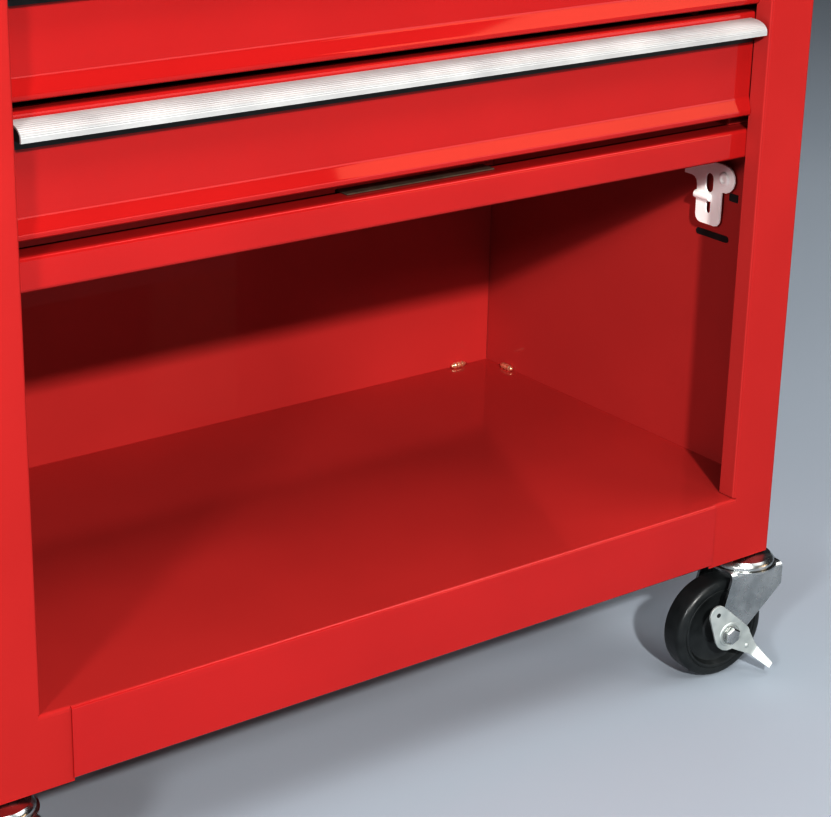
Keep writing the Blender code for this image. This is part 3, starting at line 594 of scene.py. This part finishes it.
def pull_hollow(low, high):
    """The hollow under the hood, whose outline a black cap fills at each end as painted shade."""
    back = high.y - PULL_WALL
    front = low.y + PULL_WALL
    bottom = high.z - PULL_HEIGHT
    shoulder = bottom + PULL_LIP
    top = high.z - PULL_WALL
    angles = [math.pi / 2 / SHADE_CAP_STEPS * step for step in range(SHADE_CAP_STEPS)]
    bow = [(back - (back - front) * math.cos(angle), shoulder + (top - shoulder) * math.sin(angle))
           for angle in angles]
    return [(back, bottom), (front, bottom), *bow, (back, top)]


def pull(number):
    """One drawer's pull, cut to length with rounded corners."""
    low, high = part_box(f"drawer_{number}_pull")
    bm = drawn([(low.x, y, z) for y, z in pull_section(low, high)], (high.x - low.x, 0, 0))
    for side, end_x in ((-1, low.x), (1, high.x)):
        corner = Vector((end_x - side * PULL_CORNER, 0, high.z - PULL_CORNER))
        for angle in (math.radians(cut) for cut in PULL_CORNER_CUTS):
            normal = Vector((side * math.cos(angle), 0, math.sin(angle)))
            shaved(bm, corner + normal * PULL_CORNER, normal)
    made = piece(f"pull_{number}", bm, "ribbed_aluminium", f"drawer_{number}", smooth=25)
    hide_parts(f"drawer_{number}_pull")


def pull_shade_liner(number):
    """Painted shade: a black strip behind the pull's lip, and black caps in the pull's ends, where the hollow lies
    in shade.
    """
    low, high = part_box(f"drawer_{number}_pull")
    back = high.y - PULL_WALL
    bottom = low.z - SHADE_STRIP_DROP
    top = high.z - 2 * PULL_WALL
    strip = ((back, bottom), (back - SHADE_STRIP, bottom), (back - SHADE_STRIP, top), (back, top))
    shapes = [drawn([(low.x + SHADE_CAP_INSET, y, z) for y, z in strip],
                    (high.x - low.x - 2 * SHADE_CAP_INSET, 0, 0))]
    for end_x, way in ((low.x, 1), (high.x, -1)):
        outline = [(end_x + way * SHADE_CAP_INSET, y, z) for y, z in pull_hollow(low, high)]
        shapes.append(drawn(outline, (way * SHADE_CAP_THICK, 0, 0)))
    piece(f"pull_shade_liner_{number}", joined(shapes), "black_moulding", f"drawer_{number}")


for number in DRAWERS:
    pull(number)
    pull_shade_liner(number)


# Casters

ARM_FACE = 0.0200
SEAT = 0.0003
BRAKE_SHEET = 0.0020
BRAKE_FACE = ARM_FACE + SEAT + BRAKE_SHEET


def axle_space(corner):
    """Placing from a wheel's own axes, Z along its axle, to the object."""
    joint = JOINTS[f"wheel_spin_{corner}"]
    axle = Vector(joint["axis"])
    across = Vector((axle.y, -axle.x, 0))
    turn = Matrix((across, -UP, axle)).transposed()
    return Matrix.Translation(joint["pos_m"]) @ turn.to_4x4()


HUB_HALF = 0.0170
RIM_HALF = 0.0110
WEB_HALF = 0.0060


def wheel_profile(radius):
    """Hub, sunk web, raised ring, shoulder and crowned tread, as (radius, width) points."""
    hub = [(0.0043, HUB_HALF), (0.0100, HUB_HALF), (0.0107, HUB_HALF - 0.0007), (0.0118, RIM_HALF)]
    web = [(0.0128, WEB_HALF + 0.0012), (0.0142, WEB_HALF), (0.0262, WEB_HALF),
           (0.0288, WEB_HALF + 0.0008)]
    ring = [(0.0302, RIM_HALF - 0.0018), (0.0310, RIM_HALF - 0.0006), (0.0318, RIM_HALF - 0.0003),
            (0.0328, RIM_HALF - 0.0003), (0.0331, RIM_HALF - 0.0008), (0.0337, RIM_HALF - 0.0008),
            (0.0341, RIM_HALF - 0.0002), (0.0362, RIM_HALF)]
    tread = [(radius - 0.0030, RIM_HALF - 0.0005), (radius - 0.0016, RIM_HALF - 0.0015),
             (radius - 0.0006, RIM_HALF - 0.0026), (radius - 0.0001, RIM_HALF - 0.0041),
             (radius, RIM_HALF - 0.0060)]
    near = hub + web + ring + tread
    return near + [(reach, -width) for reach, width in reversed(near)]


def wheel(corner):
    """Moulded wheel in place of the plain one."""
    low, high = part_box(f"caster_wheel_{corner}")
    bm = placed(turned(wheel_profile((high.z - low.z) / 2), 96), axle_space(corner))
    body = BODY_OF[f"caster_wheel_{corner}"]
    made = piece(f"wheel_{corner}", bm, "black_moulding", body, smooth=28)
    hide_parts(f"caster_wheel_{corner}")


def hex_head(across, height, chamfer):
    """A hexagon head with its outer corners eased, standing on Z = 0."""
    bm = bmesh.new()
    radius = across / math.sqrt(3)
    bmesh.ops.create_cone(bm, cap_ends=True, segments=6, radius1=radius, radius2=radius,
                          depth=height)
    bmesh.ops.translate(bm, vec=UP * height / 2, verts=bm.verts)
    rims = [edge for edge in bm.edges if all(vert.co.z > height * 0.9 for vert in edge.verts)]
    rounded(bm, rims, chamfer, segments=1)
    return bm


AXLE_RADIUS = 0.0040
AXLE_HEX = 0.0120
AXLE_CHAMFER = 0.0008
AXLE_NUT_HIGH = 0.0042
AXLE_HEAD_HIGH = 0.0048
AXLE_HEAD_LAP = 0.0005
AXLE_STANDS = 0.0048
WASHER_BORE = 0.0041
WASHER_RADIUS = 0.0070
WASHER_THICK = 0.0008


def axle(corner, near_end, far_end):
    """Axle bolt: hexagon head behind, washer and nut in front, the bolt's end standing through."""
    seat = -near_end - WASHER_THICK
    washer = turned([(WASHER_BORE, seat), (WASHER_RADIUS, seat), (WASHER_RADIUS, -near_end),
                     (WASHER_BORE, -near_end)], 40)
    nut = placed(hex_head(AXLE_HEX, AXLE_NUT_HIGH, AXLE_CHAMFER), facing(-UP, (0, 0, seat)))
    head = placed(hex_head(AXLE_HEX, AXLE_HEAD_HIGH, AXLE_CHAMFER), facing(UP, (0, 0, far_end)))
    root = far_end + AXLE_HEAD_LAP
    tip = -near_end - AXLE_STANDS
    shank = turned([(0, root), (AXLE_RADIUS, root), (AXLE_RADIUS, tip + AXLE_CHAMFER),
                    (AXLE_RADIUS - AXLE_CHAMFER, tip), (0, tip)], 32)
    bm = placed(joined([nut, washer, head, shank]), axle_space(corner))
    made = piece(f"axle_{corner}", bm, "zinc_plate", BODY_OF[f"caster_axle_{corner}"], smooth=30)
    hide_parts(f"caster_axle_{corner}")


STEM = 0.0060
STEM_LONG = 0.0160
RACE_CROWN = 0.0056
# Share of the race's radius, and rise above its lower rim
DOME = ((1.0, 0.0), (1.0, 0.0020), (0.985, 0.0031), (0.94, 0.0044), (0.88, 0.0058),
        (0.70, 0.0066), (0.50, 0.0074))


def race(corner):
    """Domed upper race with its king pin below and the threaded stem above."""
    low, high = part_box(f"caster_race_{corner}")
    middle = (low + high) / 2
    radius = (high.x - low.x) / 2
    crown = low.z + RACE_CROWN
    shoulder = high.z - STEM_LONG
    pin = [(0, low.z), (0.0066, low.z), (0.0082, low.z + 0.0007), (0.0090, low.z + 0.0020),
           (STEM, low.z + 0.0020), (STEM, crown)]
    dome = [(radius * share, crown + rise) for share, rise in DOME]
    neck = [(0.0104, crown + 0.0080), (0.0100, shoulder)]
    stem = [(STEM, shoulder), (STEM, high.z - 0.0010), (STEM - 0.0008, high.z), (0, high.z)]
    bm = placed(turned(pin + dome + neck + stem, 64), Matrix.Translation((middle.x, middle.y, 0)))
    made = piece(f"race_{corner}", bm, "zinc_plate", "cabinet", smooth=30)
    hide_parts(f"caster_race_{corner}")


BRAKE_RIVET_AT = Vector((0.0180, 0.0140, 0))
BRAKE_HOLE_AT = Vector((-0.0125, -0.0190, 0))


def brake_marks(corner):
    """Ring stamped round the axle, rivet at the pedal's neck, and a black disc on the upper lobe that paints the
    shade of a hole there.
    """
    body = BODY_OF[f"brake_lever_{corner}"]
    space = axle_space(corner)
    low, top = BRAKE_FACE - 0.0002, BRAKE_FACE + 0.0007
    ring = turned([(0.0079, -low), (0.0085, -top), (0.0096, -top), (0.0103, -low)], 48)
    rivet = turned([(0, -low), (0.0021, -low), (0.0019, -top + 0.0002), (0.0012, -top - 0.0003),
                    (0, -top - 0.0005)], 24)
    marks = joined([ring, placed(rivet, Matrix.Translation(BRAKE_RIVET_AT))])
    piece(f"brake_stamping_{corner}", placed(marks, space), "zinc_plate", body, smooth=40,
          look="satin_zinc")
    # No hole is cut: a black disc on the plate's face is painted shade where the hole would show dark
    face = -BRAKE_FACE - 0.0001
    hole = turned([(0, -low), (0.0019, -low), (0.0018, face), (0, face)], 24)
    hole_space = space @ Matrix.Translation(BRAKE_HOLE_AT)
    piece(f"brake_hole_shade_{corner}", placed(hole, hole_space), "black_moulding", body)


STEM_NUT = 0.0170
STEM_NUT_HIGH = 0.0080
STEM_NUT_CHAMFER = 0.0012


def stem_nut(corner):
    """Nut that holds the front caster's stem on the base flange."""
    low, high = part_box(f"caster_race_{corner}")
    middle = (low + high) / 2
    flange_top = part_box("base_pan")[0].z + SHEET + SEAT
    bm = placed(hex_head(STEM_NUT, STEM_NUT_HIGH, STEM_NUT_CHAMFER),
                Matrix.Translation((middle.x, middle.y, flange_top)))
    piece(f"stem_nut_{corner}", bm, "zinc_plate", "cabinet", smooth=30)


BOLT_HEX = 0.0080
BOLT_CHAMFER = 0.0006
BOLT_HEAD_HIGH = 0.0032
BOLT_NUT_HIGH = 0.0040
BOLT_ACROSS, BOLT_ALONG = 0.0120, 0.0285
BRACKET_PLATE = 0.0030


def bracket_bolts(corner):
    """Four bolt heads under the rear caster's plate and their nuts above the flange."""
    low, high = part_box(f"caster_bracket_{corner}")
    middle = (low + high) / 2
    under = high.z - BRACKET_PLATE
    above = high.z + SEAT + SHEET
    shapes = []
    for x in (middle.x - BOLT_ACROSS, middle.x + BOLT_ACROSS):
        for y in (middle.y - BOLT_ALONG, middle.y + BOLT_ALONG):
            head = hex_head(BOLT_HEX, BOLT_HEAD_HIGH, BOLT_CHAMFER)
            nut = hex_head(BOLT_HEX, BOLT_NUT_HIGH, BOLT_CHAMFER)
            shapes.append(placed(head, facing(-UP, (x, y, under))))
            shapes.append(placed(nut, Matrix.Translation((x, y, above))))
    piece(f"bracket_bolts_{corner}", joined(shapes), "zinc_plate", "cabinet", smooth=30)


for corner in FRONT_CASTERS + REAR_CASTERS:
    wheel(corner)
for corner in FRONT_CASTERS:
    axle(corner, BRAKE_FACE + SEAT, ARM_FACE + SEAT)
for corner in REAR_CASTERS:
    axle(corner, ARM_FACE + SEAT, ARM_FACE + SEAT)
for corner in FRONT_CASTERS:
    race(corner)
    brake_marks(corner)
    stem_nut(corner)
for corner in REAR_CASTERS:
    bracket_bolts(corner)


# Floor, light and camera

FLOOR_HALF = 14
FLOOR_COLOURS = ((0.335, 0.375, 0.418), (0.365, 0.405, 0.448))
WORLD_COLOUR = (0.62, 0.67, 0.76, 1.0)
WORLD_STRENGTH = 0.08
VIEW_GAMMA = 0.68


def stage_floor():
    """Wide pale floor in a cool grey."""
    bm = bmesh.new()
    bmesh.ops.create_grid(bm, x_segments=1, y_segments=1, size=FLOOR_HALF)
    mesh = bpy.data.meshes.new("studio_floor")
    bm.to_mesh(mesh)
    bm.free()
    made = finish("pale_floor", Roughness=0.6, Specular_IOR_Level=0.2)
    clouded(made, "Base Color", *FLOOR_COLOURS, 0.8)
    mesh.materials.append(made)
    floor = bpy.data.objects.new("studio_floor", mesh)
    bpy.context.scene.collection.objects.link(floor)


def lamp(name, place, target, power, width, height, colour=(1.0, 1.0, 1.0), mirrored=True):
    """A soft panel of light aimed at a point; one not mirrored leaves no patch on the enamel."""
    light = bpy.data.lights.new(name, "AREA")
    light.shape = "RECTANGLE"
    light.size = width
    light.size_y = height
    light.energy = power
    light.color = colour
    made = bpy.data.objects.new(name, light)
    bpy.context.scene.collection.objects.link(made)
    made.visible_camera = False
    made.visible_glossy = mirrored
    made.location = place
    made.rotation_euler = (Vector(target) - Vector(place)).to_track_quat("-Z", "Y").to_euler()


stage_floor()
lamp("key_from_front", (-1.14, -2.97, 2.08), (0.0, -0.15, 0.40), 166, 0.12, 0.12,
     (1.0, 0.98, 0.95))
lamp("fill_left", (-2.45, -1.80, 1.39), (0.10, -0.10, 0.35), 60, 0.30, 0.30)
lamp("warm_panel_right", (1.85, -1.95, 0.98), (0.10, -0.10, 0.45), 6, 1.1, 0.5,
     (1.0, 0.72, 0.45))
lamp("low_strip_right", (2.35, -3.35, 0.45), (0.0, -0.15, 0.45), 13, 2.4, 0.7)
lamp("panel_high_right", (1.45, -0.90, 2.20), (0.10, -0.15, 0.45), 20, 1.3, 1.3)
lamp("panel_above", (-0.2, -1.5, 2.7), (0.0, -0.1, 0.3), 28, 1.2, 0.8)
lamp("soft_behind", (-1.6, 2.8, 1.25), (0.0, 0.20, 0.45), 70, 1.5, 1.5, mirrored=False)
lamp("side_right", (3.2, -0.9, 0.95), (0.34, 0.0, 0.42), 42, 1.2, 1.2, mirrored=False)
lamp("floor_behind", (1.6, 1.3, 2.2), (1.1, 1.0, 0.0), 6, 0.8, 0.8)

world = bpy.data.worlds.new("studio")
world.use_nodes = True
world.node_tree.nodes["Background"].inputs["Color"].default_value = WORLD_COLOUR
world.node_tree.nodes["Background"].inputs["Strength"].default_value = WORLD_STRENGTH
bpy.context.scene.world = world
bpy.context.scene.view_settings.view_transform = "Standard"
bpy.context.scene.view_settings.gamma = VIEW_GAMMA

CAMERA_YAW = math.radians(37.403)
CAMERA_PITCH = math.radians(21.034)
CAMERA_ROLL = math.radians(-1.308)
CAMERA_LENS_MM = 94.816
CAMERA_SENSOR_MM = 36.0
# From the middle of the cabinet across, and from the left post's front and lower end
CAMERA_AT = Vector((-0.83136, -1.07030, 0.71116))
camera_data = bpy.data.cameras.new("photo_camera")
camera_data.lens = CAMERA_LENS_MM
camera_data.sensor_width = CAMERA_SENSOR_MM
camera = bpy.data.objects.new("photo_camera", camera_data)
bpy.context.scene.collection.objects.link(camera)
right = Vector((math.cos(CAMERA_YAW), -math.sin(CAMERA_YAW), 0))
level = Vector((math.sin(CAMERA_YAW), math.cos(CAMERA_YAW), 0))
ahead = level * math.cos(CAMERA_PITCH) - UP * math.sin(CAMERA_PITCH)
down = ahead.cross(right)
image_right = right * math.cos(CAMERA_ROLL) + down * math.sin(CAMERA_ROLL)
image_down = -right * math.sin(CAMERA_ROLL) + down * math.cos(CAMERA_ROLL)
post_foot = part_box("side_panel_left")[0]
camera_place = Matrix.Translation(CAMERA_AT + Vector((0, post_foot.y, post_foot.z)))
camera.matrix_world = camera_place @ Matrix((image_right, -image_down, -ahead)).transposed().to_4x4()
bpy.context.scene.camera = camera
